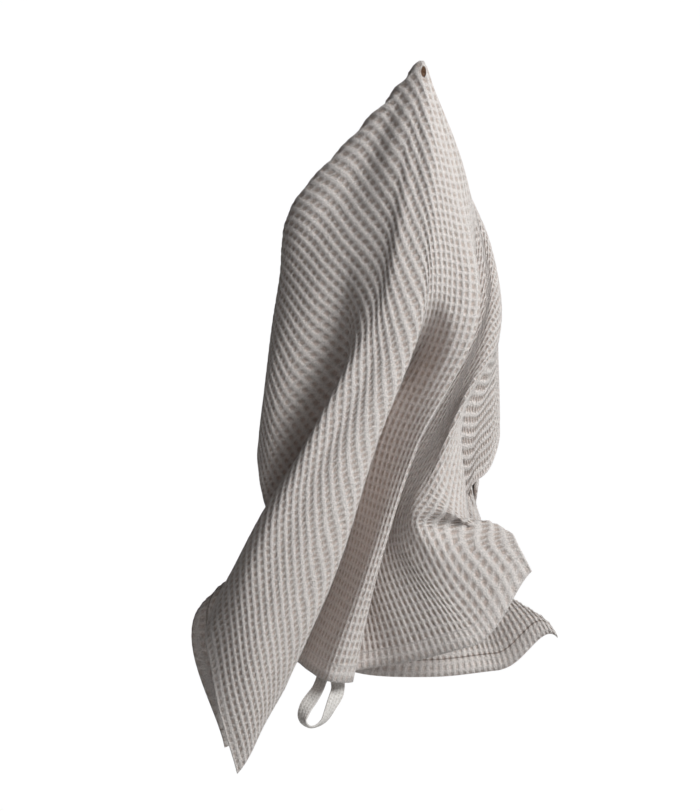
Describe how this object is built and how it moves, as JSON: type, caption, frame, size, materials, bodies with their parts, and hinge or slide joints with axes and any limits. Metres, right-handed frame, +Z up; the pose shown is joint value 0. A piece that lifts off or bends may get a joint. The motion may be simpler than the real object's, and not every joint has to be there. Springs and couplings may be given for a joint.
{
  "type": "dish towel",
  "caption": "Waffle-weave cotton dish towel in natural off-white, hanging in folds from one point, with turned hems and a small tape loop.",
  "frame": {"origin": "the lifted point at the top of the towel, where it hangs", "axes": "+Z up, the towel's front faces -Y, +X to the right as seen from the front"},
  "size_m": [0.2763, 0.1654, 0.5288],
  "materials": {
    "waffle_cloth": "matte",
    "loop_tape": "matte"
  },
  "bodies": {
    "root": {"towel_cloth": "waffle_cloth", "hanging_loop": "loop_tape"}
  },
  "joints": []
}
